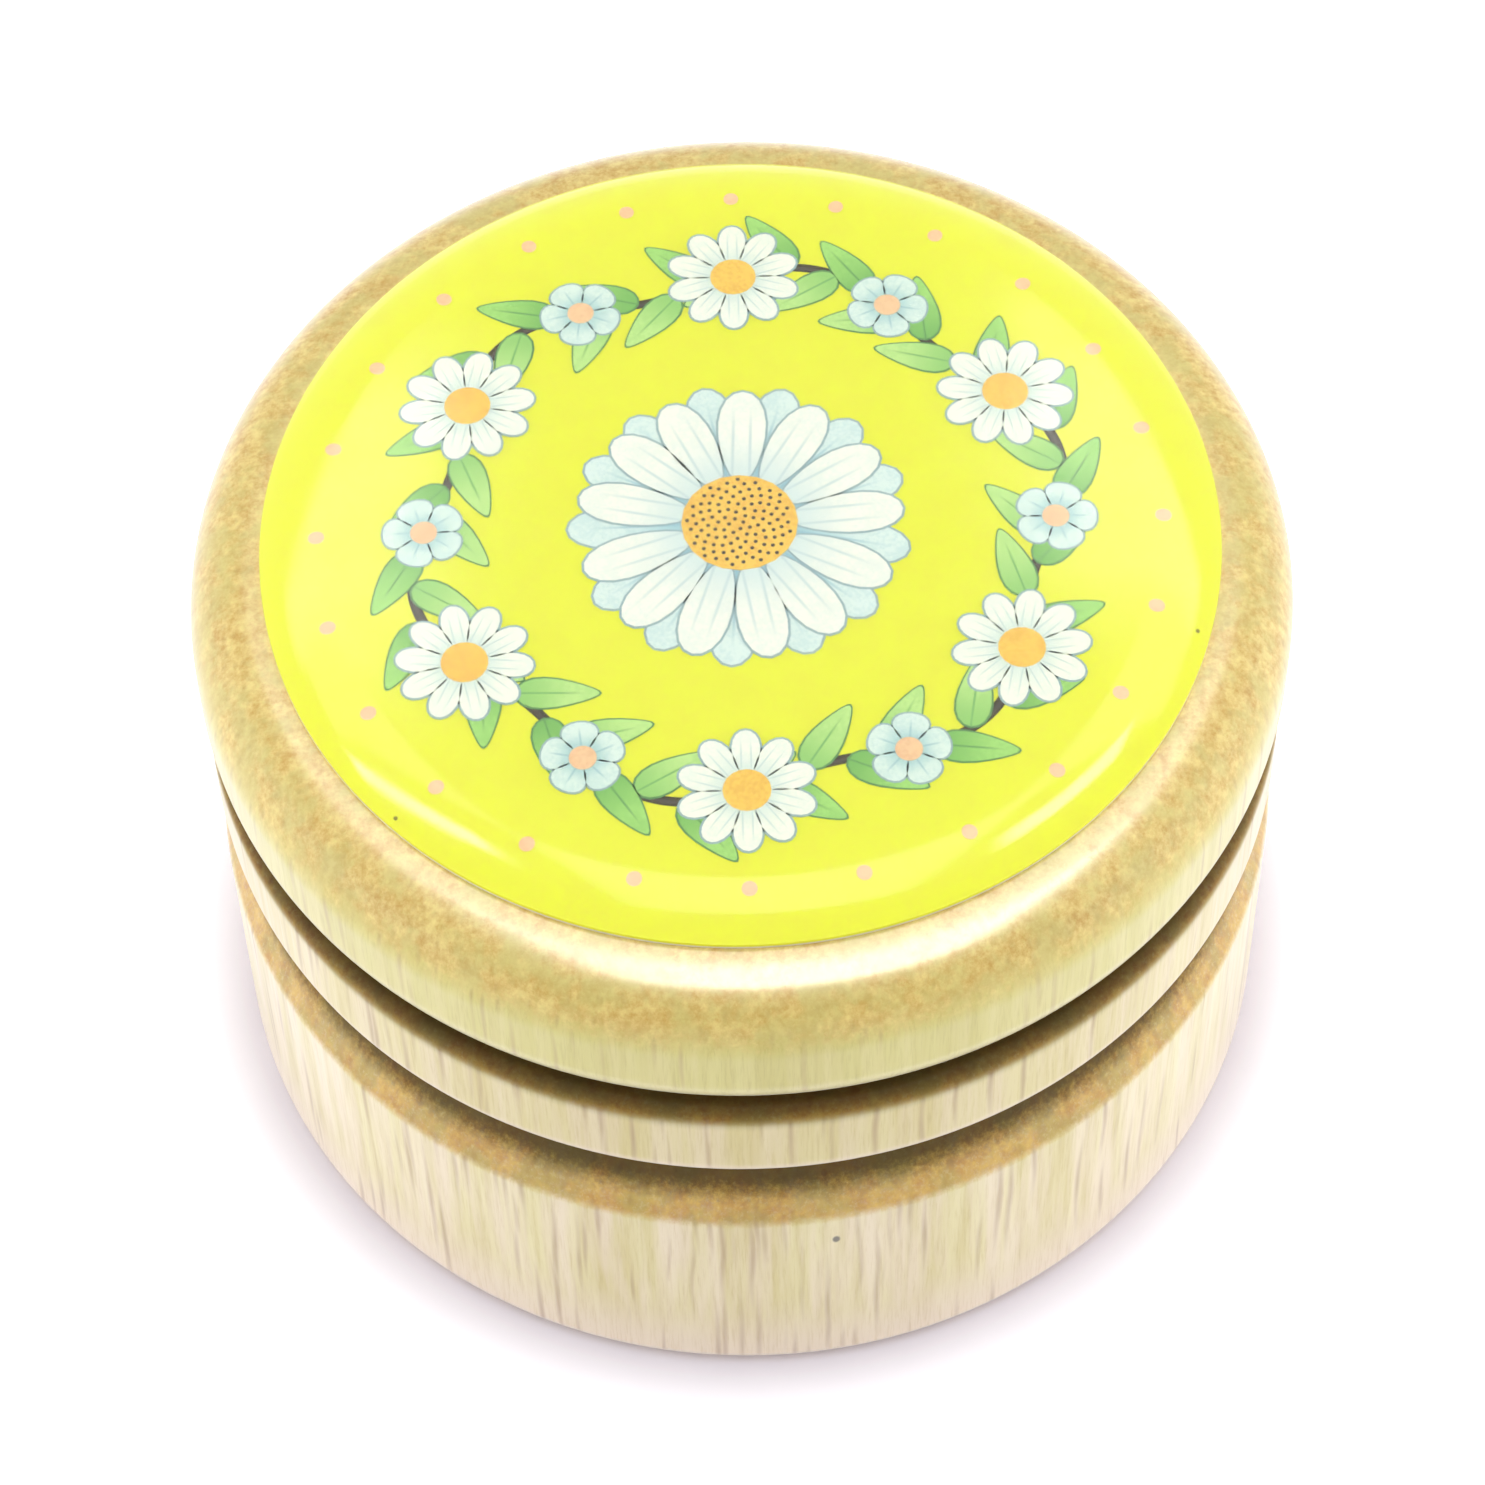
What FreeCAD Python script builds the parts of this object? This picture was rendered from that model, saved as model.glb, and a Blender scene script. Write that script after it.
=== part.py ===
"""Baby tooth box: a turned wooden base with a screw lid, and a domed round label on the lid.

Millimetres, +Z up. The origin is the centre of the flat bottom, so the box stands on Z = 0.
Every piece is turned about Z from a half section that is drawn in radius and height.
"""
import FreeCAD
import Part
import math
import os

# Blank that the base and the lid are both turned from
blank_radius = 22.5
base_height = 21.9            # bottom to the seat that the lid rests on
lid_thickness = 7.1           # seat to the flat top of the lid

# Outside of the base, from the seat down
bead_height = 5.7             # seat to the root of the groove
bead_inset = 0.1              # the bead is turned a little smaller than the blank
bead_upper_round = 0.8
gap_height = 0.7              # dark gap between the bead and the lid
gap_depth = 2.5
bead_lower_round = 1.1
groove_depth = 2.0
groove_root_round = 0.3
flank_height = 3.8            # long sloping side of the groove
flank_round = 1.2             # sanded edge at the foot of that slope
foot_round = 1.0

# Outside of the lid
crown_width = 2.9
crown_height = 3.2
lid_lower_width = 1.3
lid_lower_height = 1.9

# Socket in the lid and screw neck on the base, both drawn at the pitch line of the thread
lid_wall = 4.4                # around the socket
lid_roof = 3.1                # over the socket
socket_round = 0.5
socket_headroom = 0.2         # room over the neck when the lid is closed
thread_play = 0.2             # radial room between the neck and the socket
thread_depth = 0.9            # crest to root
relief_height = 0.7           # plain run-out at the end of each thread, cut to the root
neck_round = 0.5

# Hollow for the teeth
neck_wall = 2.7
mouth_round = 0.5
floor_thickness = 4.0
floor_round = 2.5

# Label on the lid: adhesive, printed film and a clear dome poured on the film
label_margin = 0.2            # flat wood between the label and the crown
adhesive_thickness = 0.1
film_thickness = 0.15
dome_edge_radius = 5.0
dome_rim_slope = 40.0         # degrees, at the rim of the dome
dome_crown_slope = 4.0        # degrees, where the edge runs into the wide crown

# Places that the sizes above lead to
bead_radius = blank_radius - bead_inset
groove_radius = blank_radius - groove_depth
groove_height = base_height - bead_height
bead_top = base_height - gap_height
seat_radius = blank_radius - gap_depth
flank_start = groove_height - flank_height
socket_radius = blank_radius - lid_wall
socket_root = socket_radius + thread_depth / 2
neck_radius = socket_radius - thread_play
neck_root = neck_radius - thread_depth / 2
cavity_radius = neck_radius - neck_wall
lid_top = base_height + lid_thickness
socket_top = lid_top - lid_roof
neck_top = socket_top - socket_headroom
label_radius = blank_radius - crown_width - label_margin
film_bottom = lid_top + adhesive_thickness
dome_bottom = film_bottom + film_thickness


def place(radius, height):
    return FreeCAD.Vector(radius, 0, height)


def towards(start, end):
    return (end - start).normalize()


def circle_round(before, corner, after, radius):
    """Start, edge and end of the circular rounding of a corner."""
    back = towards(corner, before)
    onward = towards(corner, after)
    half_angle = back.getAngle(onward) / 2
    reach = radius / math.tan(half_angle)
    gap = radius / math.sin(half_angle) - radius
    start = corner + back * reach
    end = corner + onward * reach
    middle = corner + (back + onward).normalize() * gap
    return start, Part.Arc(start, middle, end).toShape(), end


def oval_round(before, corner, after, reach_before, reach_after):
    """Start, edge and end of a quarter of an ellipse that rounds a square corner."""
    start = corner + towards(corner, before) * reach_before
    end = corner + towards(corner, after) * reach_after
    centre = start + end - corner
    nearer, further = sorted((start, end), key=centre.distanceToPoint)
    ellipse = Part.Ellipse(further, nearer, centre)
    return start, Part.ArcOfEllipse(ellipse, 0, math.pi / 2).toShape(), end


def outline(corners):
    """Edges of a closed half section. A corner is a radius, a height and, if it isn't sharp, the
    radius of its rounding, or the reach of an oval one along the run before it and after it."""
    points = [place(*corner[:2]) for corner in corners]
    edges = []
    stops = []
    for index, (_, _, *rounding) in enumerate(corners):
        before, here, after = points[index - 1], points[index], points[(index + 1) % len(points)]
        if not rounding:
            stops.append((here, here))
            continue
        make = circle_round if len(rounding) == 1 else oval_round
        start, edge, end = make(before, here, after, *rounding)
        edges.append(edge)
        stops.append((start, end))
    for index, (start, _) in enumerate(stops):
        edges.append(Part.LineSegment(stops[index - 1][1], start).toShape())
    return edges


def turned(edges):
    section = Part.Face(Part.Wire(Part.__sortEdges__(edges)))
    return section.revolve(FreeCAD.Vector(0, 0, 0), FreeCAD.Vector(0, 0, 1), 360)


def base():
    """Base with its groove and bead, the seat for the lid, the screw neck and the hollow for the teeth."""
    return turned(outline([
        (0, 0),
        (blank_radius, 0, foot_round),
        (blank_radius, flank_start, flank_round),
        (groove_radius, groove_height, groove_root_round),
        (bead_radius, groove_height, bead_lower_round),
        (bead_radius, bead_top, bead_upper_round),
        (seat_radius, bead_top),
        (seat_radius, base_height),
        (neck_root, base_height),
        (neck_root, base_height + relief_height),
        (neck_radius, base_height + relief_height),
        (neck_radius, neck_top, neck_round),
        (cavity_radius, neck_top, mouth_round),
        (cavity_radius, floor_thickness, floor_round),
        (0, floor_thickness),
    ]))


def lid():
    """Lid with its crown, the underside that rests on the seat and the socket for the neck."""
    return turned(outline([
        (0, socket_top),
        (socket_root, socket_top),
        (socket_root, socket_top - relief_height),
        (socket_radius, socket_top - relief_height),
        (socket_radius, base_height, socket_round),
        (blank_radius, base_height, lid_lower_width, lid_lower_height),
        (blank_radius, lid_top, crown_height, crown_width),
        (0, lid_top),
    ]))


def disc(bottom, thickness):
    return Part.makeCylinder(label_radius, thickness, place(0, bottom))


def dome():
    """Clear dome: a short round edge that runs smoothly into a wide, nearly flat crown."""
    rim_slope = math.radians(dome_rim_slope)
    crown_slope = math.radians(dome_crown_slope)
    rim = place(label_radius, dome_bottom)
    edge_centre = rim - place(math.sin(rim_slope), math.cos(rim_slope)) * dome_edge_radius

    def on_edge(slope):
        return edge_centre + place(math.sin(slope), math.cos(slope)) * dome_edge_radius

    join = on_edge(crown_slope)
    crown_radius = join.x / math.sin(crown_slope)
    crown_centre = join - place(math.sin(crown_slope), math.cos(crown_slope)) * crown_radius

    def on_crown(slope):
        return crown_centre + place(math.sin(slope), math.cos(slope)) * crown_radius

    top = on_crown(0)
    bottom = place(0, dome_bottom)
    return turned([
        Part.LineSegment(bottom, rim).toShape(),
        Part.Arc(rim, on_edge((rim_slope + crown_slope) / 2), join).toShape(),
        Part.Arc(join, on_crown(crown_slope / 2), top).toShape(),
        Part.LineSegment(top, bottom).toShape(),
    ])


pieces = {
    "base": base(),
    "lid": lid(),
    "label_adhesive": disc(lid_top, adhesive_thickness),
    "label_film": disc(film_bottom, film_thickness),
    "label_dome": dome(),
}

os.makedirs("parts", exist_ok=True)
for name, shape in pieces.items():
    shape.exportStep(f"parts/{name}.step")
    print(name, "valid" if shape.isValid() else "not valid", shape.ShapeType, round(shape.Volume, 1))
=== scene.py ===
import math
import bpy
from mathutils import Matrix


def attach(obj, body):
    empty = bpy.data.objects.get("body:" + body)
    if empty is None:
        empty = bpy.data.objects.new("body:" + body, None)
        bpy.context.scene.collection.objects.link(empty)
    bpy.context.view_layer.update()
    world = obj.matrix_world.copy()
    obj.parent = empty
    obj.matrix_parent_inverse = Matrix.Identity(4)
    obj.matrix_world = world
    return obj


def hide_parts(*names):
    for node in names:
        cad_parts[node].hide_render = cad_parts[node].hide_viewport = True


# small turned wooden box with a screw lid and a domed round label on the lid
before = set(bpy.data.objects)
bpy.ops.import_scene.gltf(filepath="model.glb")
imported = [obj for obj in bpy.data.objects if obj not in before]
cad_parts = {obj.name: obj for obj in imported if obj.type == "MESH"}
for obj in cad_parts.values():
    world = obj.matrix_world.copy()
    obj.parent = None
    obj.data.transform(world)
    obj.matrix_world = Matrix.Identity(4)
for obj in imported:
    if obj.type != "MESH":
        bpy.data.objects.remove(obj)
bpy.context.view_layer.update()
scene = bpy.context.scene
mm = 0.001
print("frame loaded:", ", ".join(sorted(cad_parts)))


def linear(red, green, blue):
    # picker values 0-255 to scene colours
    def one(value):
        value /= 255
        return value / 12.92 if value <= 0.04045 else ((value + 0.055) / 1.055) ** 2.4
    return one(red), one(green), one(blue), 1.0


def addNode(tree, kind, values=None, **settings):
    node = tree.nodes.new(kind)
    for name, value in settings.items():
        setattr(node, name, value)
    for key, value in (values or {}).items():
        if isinstance(value, bpy.types.NodeSocket):
            tree.links.new(value, node.inputs[key])
        else:
            node.inputs[key].default_value = value
    return node


def calc(tree, operation, *terms):
    return addNode(tree, "ShaderNodeMath", dict(enumerate(terms)), operation=operation).outputs[0]


def plus(tree, first, second):
    return calc(tree, "ADD", first, second)


def minus(tree, first, second):
    return calc(tree, "SUBTRACT", first, second)


def times(tree, product, *factors):
    for factor in factors:
        product = calc(tree, "MULTIPLY", product, factor)
    return product


def larger(tree, most, *others):
    for other in others:
        most = calc(tree, "MAXIMUM", most, other)
    return most


def blended(tree, first, second, shares):
    return plus(tree, times(tree, first, shares[0]), times(tree, second, shares[1]))


def distance(tree, first, second):
    return calc(tree, "ABSOLUTE", minus(tree, first, second))


def vector(tree, operation, *terms):
    return addNode(tree, "ShaderNodeVectorMath", dict(enumerate(terms)), operation=operation).outputs[0]


def scaled(tree, arrow, factor):
    return addNode(tree, "ShaderNodeVectorMath", {0: arrow, "Scale": factor}, operation="SCALE").outputs[0]


def length(tree, arrow):
    return addNode(tree, "ShaderNodeVectorMath", {0: arrow}, operation="LENGTH").outputs["Value"]


def split(tree, arrow):
    return addNode(tree, "ShaderNodeSeparateXYZ", {0: arrow}).outputs


def joined(tree, x=0.0, y=0.0, z=0.0):
    return addNode(tree, "ShaderNodeCombineXYZ", {0: x, 1: y, 2: z}).outputs[0]


def spread(tree, value, low, high, newLow=0.0, newHigh=1.0, smooth=True):
    node = addNode(tree, "ShaderNodeMapRange", {0: value, 1: low, 2: high, 3: newLow, 4: newHigh},
                   interpolation_type="SMOOTHSTEP" if smooth else "LINEAR")
    return node.outputs[0]


def noise(tree, place, scale, detail, rough=0.5):
    return addNode(tree, "ShaderNodeTexNoise", {
        "Vector": place, "Scale": scale, "Detail": detail, "Roughness": rough}).outputs


def mixColour(tree, factor, first, second, blend="MIX"):
    node = addNode(tree, "ShaderNodeMix", {0: factor, 6: first, 7: second},
                   data_type="RGBA", blend_type=blend)
    return node.outputs[2]


def newTree(name, kind, inputs, outputs):
    tree = bpy.data.node_groups.new(name, kind)
    for direction, sockets in (("INPUT", inputs), ("OUTPUT", outputs)):
        for title, socketKind, value in sockets:
            socket = tree.interface.new_socket(title, in_out=direction, socket_type=socketKind)
            if value is not None:
                socket.default_value = value
    start = tree.nodes.new("NodeGroupInput").outputs
    end = tree.nodes.new("NodeGroupOutput").inputs
    return tree, start, end


def newMaterial(name):
    material = bpy.data.materials.new(name)
    material.use_nodes = True
    tree = material.node_tree
    return material, tree, tree.nodes["Principled BSDF"], tree.nodes["Material Output"]


# figure of the wood: repeats per mm across and along the fibres, then detail and roughness
figure = dict(
    bands=(0.30, 0.012, 3.0, 0.5),
    strands=(2.2, 0.09, 4.0, 0.6),
    hairs=(9.0, 0.45, 3.0, 0.7),
    flow=(0.75, 0.05, 3.0, 0.6),
    clusters=(0.13, 0.015, 2.0, 0.5),
    speckle=(3.6, 2.9, 4.0, 0.75),
    patches=(1.7, 1.4, 3.0, 0.6),
    fleck=(5.0, 4.1, 3.0, 0.7),
    blotch=(0.55, 0.45, 3.0, 0.6),
)

# what the figure does: two ends, of a pattern or in mm, and what it amounts to at each of them
grain = dict(
    # foot is how much of the painted floor bounce light the foot takes
    toneShares=(0.45, 0.55), tone=(0.34, 0.70), flow=(0.36, 0.68, 0.0, 0.6), foot=0.9,
    ripe=(15.0, 18.0, 0.0, 0.4), hairs=(0.45, 0.75, 0.0, 0.32),
    drift=0.16, sway=(0.5, 0.5, 0.0), vessels=(2.1, 2.1, 0.08), reach=(0.34, 0.56, 0.26, 0.48),
    jitter=0.5, facingUp=(0.02, 0.54), facingDown=(-0.75, -0.95), endMost=0.92, endPores=0.45,
    dappleShares=(0.45, 0.55), dapple=(0.30, 0.70),
    moss=(0.42, 0.64, 0.0, 0.6), fleck=(0.50, 0.70, 0.0, 0.25),
    knotShape=(1.0, 1.0, 0.6), knot=(0.10, 0.20, 1.0, 0.0),
    # the pair after outside sets the painted highlight along the lower edges
    outside=(19.7, 20.4), paintedEdgeLight=(0.1, 0.8, 0.6, 0.0),
    # the groove and seam entries below, with their strength, set the painted shade in the groove and the gap
    # under the lid
    ragged=0.6, grooveEdge=(0.0, 0.6), grooveRim=(21.4, 22.15, 1.0, 0.0),
    seamRagged=0.3, seam=(0.4, 1.6, 1.0, 0.0), seamFrom=(20.5, 21.2), paintedShade=0.88,
    roughness=(0.3, 0.7, 0.44, 0.54), paintedShadeRoughness=0.3, dulled=(0.0, 0.7, 1.0, 0.1),
    hairHeight=0.25, poreDepth=0.25,
)


def makeWoodGroup():
    # fibres run along Z: streaks and dashes on the turned sides, dots and a darker tan on end grain
    tree, start, end = newTree("turnedWoodGrain", "ShaderNodeTree", [
        ("Place", "NodeSocketVector", None),
        ("Pale", "NodeSocketColor", (0.8, 0.7, 0.5, 1)),
        ("Deep", "NodeSocketColor", (0.7, 0.55, 0.35, 1)),
        ("Blush", "NodeSocketColor", (0.8, 0.68, 0.5, 1)),
        ("End Grain", "NodeSocketColor", (0.6, 0.4, 0.2, 1)),
        ("End Pale", "NodeSocketColor", (0.7, 0.6, 0.4, 1)),
        ("End Moss", "NodeSocketColor", (0.6, 0.55, 0.35, 1)),
        ("Pore", "NodeSocketColor", (0.3, 0.2, 0.1, 1)),
        ("Pore Amount", "NodeSocketFloat", 0.6),
        ("Knot", "NodeSocketVector", (0.0, 0.0, -9.0)),
        # the groove and seam heights and the dark tone below set the painted shade; that tone also colours
        # the knot
        ("Groove Low", "NodeSocketFloat", 0.0),
        ("Groove High", "NodeSocketFloat", 0.0),
        ("Seam", "NodeSocketFloat", 21.6),
        ("Knot And Shade Tone", "NodeSocketColor", (0.4, 0.3, 0.2, 1)),
        # the edge height places a painted highlight along a lower edge
        ("Lit Edge Height", "NodeSocketFloat", 0.0),
        # Foot is how high painted floor bounce light reaches up the wall
        ("Foot", "NodeSocketFloat", 0.0),
        ("Lacquer", "NodeSocketFloat", 1.0),
    ], [
        ("Color", "NodeSocketColor", None),
        ("Roughness", "NodeSocketFloat", None),
        ("Lacquer", "NodeSocketFloat", None),
        ("Height", "NodeSocketFloat", None),
    ])
    coords = addNode(tree, "ShaderNodeTexCoord").outputs
    spot = scaled(tree, coords["Object"], 1 / mm)
    x, y, height = split(tree, spot)
    radius = calc(tree, "SQRT", plus(tree, times(tree, x, x), times(tree, y, y)))
    upward = split(tree, coords["Normal"])[2]
    place = vector(tree, "ADD", spot, start["Place"])

    def fibre(name):
        across, along, detail, rough = figure[name]
        stretched = vector(tree, "MULTIPLY", place, (across, across, along))
        return noise(tree, stretched, 1.0, detail, rough)[0]

    # turned sides: pale and deep along the fibres, pinkish in places, paler at the foot as painted floor
    # bounce light, riper towards the top
    strands, hairs, speckle, blotch = (fibre(name) for name in ("strands", "hairs", "speckle", "blotch"))
    tone = blended(tree, fibre("bands"), strands, grain["toneShares"])
    side = mixColour(tree, spread(tree, tone, *grain["tone"]), start["Pale"], start["Deep"])
    pinkerAndLitFoot = larger(tree, spread(tree, fibre("flow"), *grain["flow"]),
                    spread(tree, height, 0.0, start["Foot"], grain["foot"], 0.0))
    side = mixColour(tree, pinkerAndLitFoot, side, start["Blush"])
    side = mixColour(tree, spread(tree, height, *grain["ripe"]), side, start["Deep"])
    side = mixColour(tree, spread(tree, hairs, *grain["hairs"]), side, start["Deep"], "MULTIPLY")

    # vessels: thin wavering dark dashes, cut across to dots where the face looks up
    drift = noise(tree, place, grain["drift"], 1.0)["Color"]
    swayed = vector(tree, "MULTIPLY_ADD", drift, grain["sway"], place)
    cells = vector(tree, "MULTIPLY", swayed, grain["vessels"])
    vessel = addNode(tree, "ShaderNodeTexVoronoi", {"Vector": cells, "Scale": 1.0, "Randomness": 1.0})
    reach = spread(tree, fibre("clusters"), *grain["reach"])
    pore = times(tree, spread(tree, vessel.outputs["Distance"], reach, 0.0), start["Pore Amount"])

    # end grain drinks more lacquer
    uneven = minus(tree, speckle, 0.5)
    lean = plus(tree, upward, times(tree, uneven, grain["jitter"]))
    endGrain = larger(tree, spread(tree, lean, *grain["facingUp"]),
                      spread(tree, upward, *grain["facingDown"]))
    dapple = blended(tree, speckle, fibre("patches"), grain["dappleShares"])
    endTone = mixColour(tree, spread(tree, dapple, *grain["dapple"]), start["End Grain"], start["End Pale"])
    endTone = mixColour(tree, spread(tree, blotch, *grain["moss"]), endTone, start["End Moss"])
    endTone = mixColour(tree, spread(tree, fibre("fleck"), *grain["fleck"]), endTone, start["Pale"])
    colour = mixColour(tree, times(tree, endGrain, grain["endMost"]), side, endTone)
    showing = spread(tree, endGrain, 0.0, 1.0, 1.0, grain["endPores"])
    colour = mixColour(tree, times(tree, pore, showing), colour, start["Pore"])

    # one small dark knot
    offKnot = vector(tree, "MULTIPLY", vector(tree, "SUBTRACT", spot, start["Knot"]), grain["knotShape"])
    colour = mixColour(tree, spread(tree, length(tree, offKnot), *grain["knot"]), colour, start["Knot And Shade Tone"])

    # painted highlight: a pale line along the lower edges of the lid and bead, where light from below catches
    # them, on the outside only
    outside = spread(tree, radius, *grain["outside"])
    paintedEdgeLight = spread(tree, distance(tree, height, start["Lit Edge Height"]), *grain["paintedEdgeLight"])
    paintedEdgeLight = times(tree, paintedEdgeLight, minus(tree, 1.0, endGrain), outside)
    colour = mixColour(tree, paintedEdgeLight, colour, start["Blush"])

    # painted shade: the groove and the seam gap under the lid are darkened in the colour, and the lacquer
    # there is rougher and duller
    ragged = times(tree, uneven, grain["ragged"])
    raggedRadius = plus(tree, radius, ragged)
    low = spread(tree, minus(tree, height, start["Groove Low"]), *grain["grooveEdge"])
    high = spread(tree, minus(tree, start["Groove High"], height), *grain["grooveEdge"])
    groove = times(tree, low, high, spread(tree, raggedRadius, *grain["grooveRim"]), outside)
    away = plus(tree, distance(tree, height, start["Seam"]), times(tree, ragged, grain["seamRagged"]))
    seam = times(tree, spread(tree, away, *grain["seam"]), spread(tree, raggedRadius, *grain["seamFrom"]))
    paintedShade = times(tree, larger(tree, groove, seam), grain["paintedShade"])
    colour = mixColour(tree, paintedShade, colour, start["Knot And Shade Tone"], "MULTIPLY")

    rough = plus(tree, spread(tree, strands, *grain["roughness"], False),
                 times(tree, paintedShade, grain["paintedShadeRoughness"]))
    lacquer = times(tree, start["Lacquer"], spread(tree, paintedShade, *grain["dulled"]))
    relief = minus(tree, times(tree, hairs, grain["hairHeight"]), times(tree, pore, grain["poreDepth"]))
    for title, value in (("Color", colour), ("Roughness", rough), ("Lacquer", lacquer), ("Height", relief)):
        tree.links.new(value, end[title])
    return tree


# fine print grain: a soft mottle and tiny dots, in repeats per metre
printGrain = dict(mottle=900.0, dots=6500.0, shares=(0.5, 0.5), shade=(0.4, 0.62),
                  roughness=(0.3, 0.7, 0.42, 0.55))


def makeInkGroup():
    tree, start, end = newTree("printGrain", "ShaderNodeTree", [
        ("Ink", "NodeSocketColor", (1, 1, 1, 1)),
        ("Shade", "NodeSocketColor", (0.8, 0.8, 0.8, 1)),
        ("Amount", "NodeSocketFloat", 0.3),
    ], [
        ("Color", "NodeSocketColor", None),
        ("Roughness", "NodeSocketFloat", None),
    ])
    coords = addNode(tree, "ShaderNodeTexCoord").outputs["Object"]
    mottle = noise(tree, coords, printGrain["mottle"], 3.0, 0.6)[0]
    dots = noise(tree, coords, printGrain["dots"], 1.0)[0]
    shade = spread(tree, blended(tree, mottle, dots, printGrain["shares"]), *printGrain["shade"])
    colour = mixColour(tree, times(tree, shade, start["Amount"]), start["Ink"], start["Shade"])
    tree.links.new(colour, end["Color"])
    tree.links.new(spread(tree, mottle, *printGrain["roughness"], False), end["Roughness"])
    return tree


woodGroup = makeWoodGroup()
inkGroup = makeInkGroup()
lacquerFinish = {
    "Coat Roughness": 0.24,
    "Specular IOR Level": 0.25,
    "Sheen Weight": 0.4,
    "Sheen Roughness": 0.35,
    "Sheen Tint": (1.0, 0.96, 0.95, 1),
}
woodRelief = {"Strength": 0.25, "Distance": 0.06 * mm}


def woodMaterial(name, look):
    material, tree, shader, _ = newMaterial(name)
    wood = addNode(tree, "ShaderNodeGroup", node_tree=woodGroup)
    for title, value in look.items():
        wood.inputs[title].default_value = value
    bump = addNode(tree, "ShaderNodeBump", dict(woodRelief, Height=wood.outputs["Height"]))
    tree.links.new(wood.outputs["Color"], shader.inputs["Base Color"])
    tree.links.new(wood.outputs["Roughness"], shader.inputs["Roughness"])
    tree.links.new(wood.outputs["Lacquer"], shader.inputs["Coat Weight"])
    tree.links.new(bump.outputs[0], shader.inputs["Normal"])
    for title, value in lacquerFinish.items():
        shader.inputs[title].default_value = value
    return material


def printInk(tree, shader, ink, shade, amount):
    values = {"Ink": ink, "Shade": linear(*shade), "Amount": amount}
    inked = addNode(tree, "ShaderNodeGroup", values, node_tree=inkGroup)
    tree.links.new(inked.outputs["Color"], shader.inputs["Base Color"])
    tree.links.new(inked.outputs["Roughness"], shader.inputs["Roughness"])


def inkMaterial(name, ink, shade, amount):
    material, tree, shader, _ = newMaterial(name)
    printInk(tree, shader, linear(*ink), shade, amount)
    return material


# fine ribs along a petal or leaf: half width across it, and how far along it they fade
ribs = dict(edge=(0.02, 0.09, 1.0, 0.0), fade=(0.45, 0.9), footShade=0.3)


def petalMaterial(name, look):
    # ink that deepens towards the foot
    material, tree, shader, _ = newMaterial(name)
    along = addNode(tree, "ShaderNodeAttribute", attribute_name="along").outputs["Fac"]
    across = addNode(tree, "ShaderNodeAttribute", attribute_name="across").outputs["Fac"]
    fromFoot = spread(tree, along, 0.0, look["footEnd"])
    ink = mixColour(tree, fromFoot, linear(*look["foot"]), linear(*look["tip"]))
    offRib = distance(tree, calc(tree, "ABSOLUTE", across), look["ribAt"])
    fade = spread(tree, along, *ribs["fade"], look["ribStrength"], 0.0)
    rib = times(tree, spread(tree, offRib, *ribs["edge"]), fade)
    ink = mixColour(tree, rib, ink, linear(*look["rib"]))
    printInk(tree, shader, ink, look["foot"], ribs["footShade"])
    return material


print("surface groups built")


# thread in mm, and the rows of faces that its wall is cut into
screw = dict(depth=0.9, lead=2.5, runOut=0.6, rows=44)

# a half section is swept round a ring, so that it turns about Z
latheRing = 0.03
latheFinish = dict(weld=2e-7, onWall=2e-5, threadFlanks=(0.12, 0.88), crease=38.0)


def threadPush(tree, start):
    # how far each point of the threaded wall moves out, or in
    x, y, z = split(tree, addNode(tree, "GeometryNodeInputPosition").outputs[0])
    radius = calc(tree, "SQRT", plus(tree, times(tree, x, x), times(tree, y, y)))
    turns = calc(tree, "DIVIDE", z, start["Lead"])
    phase = minus(tree, times(tree, turns, 2 * math.pi), calc(tree, "ARCTAN2", y, x))
    wave = calc(tree, "MULTIPLY_ADD", calc(tree, "COSINE", phase), 0.5, 0.5)
    ridge = spread(tree, wave, *latheFinish["threadFlanks"])
    hollow = minus(tree, ridge, 1.0)
    cut = addNode(tree, "GeometryNodeSwitch", {
        "Switch": start["Outside"], "False": hollow, "True": ridge}, input_type="FLOAT").outputs[0]
    onWall = calc(tree, "COMPARE", radius, start["Thread Radius"], latheFinish["onWall"])
    rise = spread(tree, minus(tree, z, start["Thread From"]), 0.0, start["Run Out"])
    fall = spread(tree, minus(tree, start["Thread To"], z), 0.0, start["Run Out"])
    window = times(tree, onWall, times(tree, rise, fall))
    push = times(tree, cut, window, start["Thread Height"])
    return scaled(tree, vector(tree, "NORMALIZE", joined(tree, x, y)), push)


def finishTree(tree, geometry, start, end):
    real = addNode(tree, "GeometryNodeRealizeInstances", {"Geometry": geometry}).outputs[0]
    coloured = addNode(tree, "GeometryNodeSetMaterial", {"Geometry": real, "Material": start["Material"]})
    tree.links.new(coloured.outputs[0], end["Geometry"])


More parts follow.
